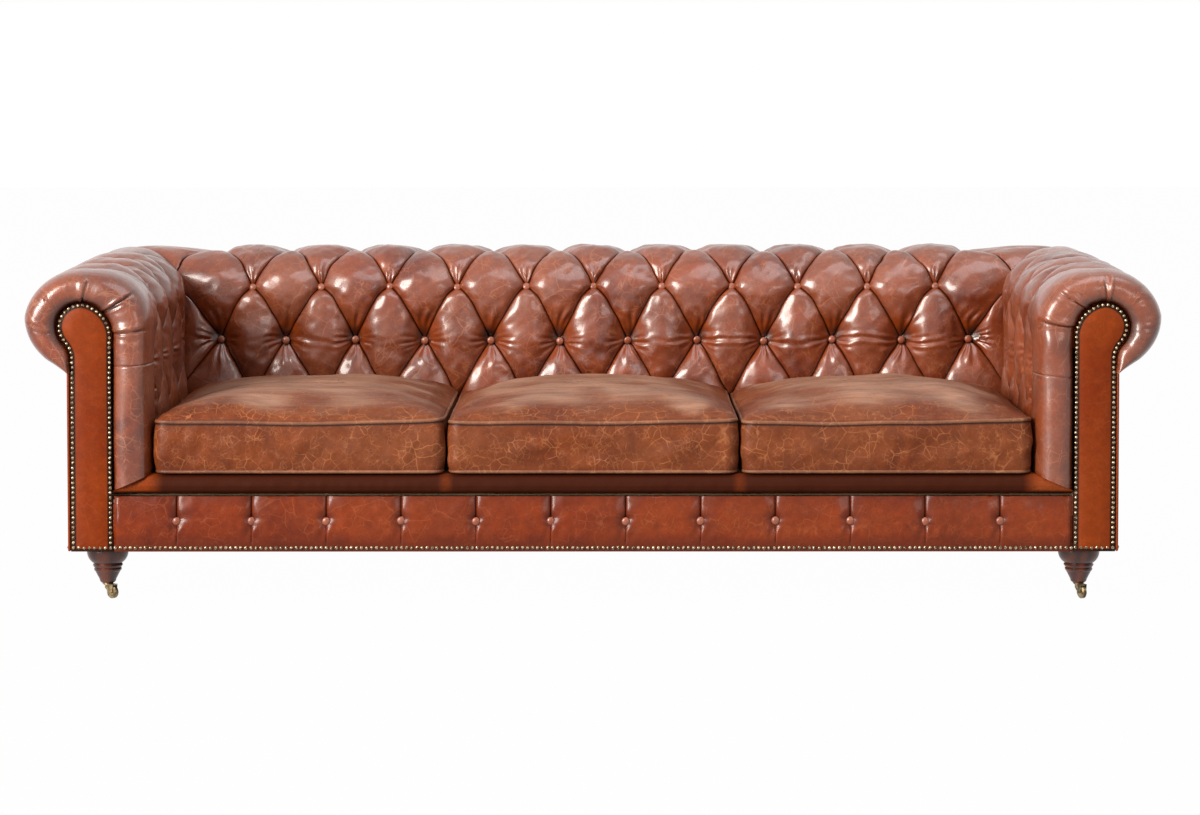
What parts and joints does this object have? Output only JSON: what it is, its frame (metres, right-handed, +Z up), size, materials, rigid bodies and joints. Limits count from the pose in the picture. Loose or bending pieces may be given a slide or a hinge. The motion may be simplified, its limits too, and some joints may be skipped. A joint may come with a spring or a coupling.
{
  "type": "chesterfield sofa",
  "caption": "Low, long sofa with deep-buttoned rolled back and arms at one height, loose seat cushions, a buttoned front border, nailed scroll fronts and turned feet on casters.",
  "frame": {"origin": "floor level, midway between the arms and midway from the front to the rear of the whole sofa", "axes": "+Z up, front of the sofa towards -Y, +X along the sofa towards the sitter's left arm"},
  "size_m": [2.4496, 0.9549, 0.7321],
  "materials": {
    "leather_tufted": "aged, rubbed brown hide with a soft shine and dark creases",
    "leather_seat": "worn tan-brown hide, paler and drier than the back",
    "leather_smooth": "smooth orange-brown hide stretched flat",
    "leather_button": "hide over a button mould",
    "deck_cloth": "plain brown platform cloth",
    "dust_cloth": "black bottoming cloth",
    "jute": "woven jute strap",
    "foam": "cream upholstery foam",
    "frame_timber": "planed, unfinished beech",
    "hardboard": "bent hardboard",
    "foot_wood": "dark red-brown stain under satin polish",
    "steel": "plain threaded steel",
    "brass": "aged brass, dull in the recesses"
  },
  "bodies": {
    "sofa": {"back_cover": "leather_tufted", "arm_cover_left": "leather_tufted", "arm_cover_right": "leather_tufted", "arm_facing_left": "leather_smooth", "arm_facing_right": "leather_smooth", "front_border": "leather_smooth", "seat_lip": "leather_smooth", "outside_arm_left": "leather_smooth", "outside_arm_right": "leather_smooth", "outside_back": "leather_smooth", "back_buttons": "leather_button", "arm_buttons": "leather_button", "border_buttons": "leather_button", "seat_deck": "deck_cloth", "dust_cover": "dust_cloth", "seat_webbing": "jute", "back_foam": "foam", "arm_foams": "foam", "scroll_board_left": "frame_timber", "scroll_board_right": "frame_timber", "arm_rails": "frame_timber", "arm_posts": "frame_timber", "back_top_rail": "frame_timber", "back_tack_rail": "frame_timber", "back_posts": "frame_timber", "corner_blocks": "frame_timber", "seat_front_rail": "frame_timber", "seat_back_rail": "frame_timber", "seat_side_rails": "frame_timber", "seat_cross_rails": "frame_timber", "roll_formers": "hardboard", "foot_front_left": "foot_wood", "foot_front_right": "foot_wood", "foot_rear_left": "foot_wood", "foot_rear_right": "foot_wood", "foot_bolts": "steel", "caster_socket_front_left": "brass", "caster_socket_front_right": "brass", "caster_socket_rear_left": "brass", "caster_socket_rear_right": "brass"},
    "cushion_left": {"cushion_cover_left": "leather_seat", "cushion_core_left": "foam"},
    "cushion_middle": {"cushion_cover_middle": "leather_seat", "cushion_core_middle": "foam"},
    "cushion_right": {"cushion_cover_right": "leather_seat", "cushion_core_right": "foam"},
    "caster_swivel_front_left": {"caster_horn_front_left": "brass", "caster_axle_front_left": "brass"},
    "caster_roller_front_left": {"caster_wheel_front_left": "brass"},
    "caster_swivel_front_right": {"caster_horn_front_right": "brass", "caster_axle_front_right": "brass"},
    "caster_roller_front_right": {"caster_wheel_front_right": "brass"},
    "caster_swivel_rear_left": {"caster_horn_rear_left": "brass", "caster_axle_rear_left": "brass"},
    "caster_roller_rear_left": {"caster_wheel_rear_left": "brass"},
    "caster_swivel_rear_right": {"caster_horn_rear_right": "brass", "caster_axle_rear_right": "brass"},
    "caster_roller_rear_right": {"caster_wheel_rear_right": "brass"}
  },
  "joints": [
    {"name": "lift_cushion_left", "type": "slide", "parent": "sofa", "child": "cushion_left", "axis": [0, 0, 1], "range_m": [0, 0.45]},
    {"name": "lift_cushion_middle", "type": "slide", "parent": "sofa", "child": "cushion_middle", "axis": [0, 0, 1], "range_m": [0, 0.45]},
    {"name": "lift_cushion_right", "type": "slide", "parent": "sofa", "child": "cushion_right", "axis": [0, 0, 1], "range_m": [0, 0.45]},
    {"name": "swivel_front_left", "type": "hinge", "parent": "sofa", "child": "caster_swivel_front_left", "pos_m": [-1.056, -0.392, 0.033], "axis": [0, 0, 1], "continuous": true},
    {"name": "roll_front_left", "type": "hinge", "parent": "caster_swivel_front_left", "child": "caster_roller_front_left", "pos_m": [-1.04497, -0.39889, 0.014], "axis": [0.5299, 0.848, 0], "continuous": true},
    {"name": "swivel_front_right", "type": "hinge", "parent": "sofa", "child": "caster_swivel_front_right", "pos_m": [1.056, -0.392, 0.033], "axis": [0, 0, 1], "continuous": true},
    {"name": "roll_front_right", "type": "hinge", "parent": "caster_swivel_front_right", "child": "caster_roller_front_right", "pos_m": [1.0617, -0.40368, 0.014], "axis": [0.8988, 0.4384, 0], "continuous": true},
    {"name": "swivel_rear_left", "type": "hinge", "parent": "sofa", "child": "caster_swivel_rear_left", "pos_m": [-1.056, 0.322, 0.033], "axis": [0, 0, 1], "continuous": true},
    {"name": "roll_rear_left", "type": "hinge", "parent": "caster_swivel_rear_left", "child": "caster_roller_rear_left", "pos_m": [-1.04535, 0.32946, 0.014], "axis": [-0.5736, 0.8192, 0], "continuous": true},
    {"name": "swivel_rear_right", "type": "hinge", "parent": "sofa", "child": "caster_swivel_rear_right", "pos_m": [1.056, 0.322, 0.033], "axis": [0, 0, 1], "continuous": true},
    {"name": "roll_rear_right", "type": "hinge", "parent": "caster_swivel_rear_right", "child": "caster_roller_rear_right", "pos_m": [1.04497, 0.32889, 0.014], "axis": [-0.5299, -0.848, 0], "continuous": true}
  ]
}
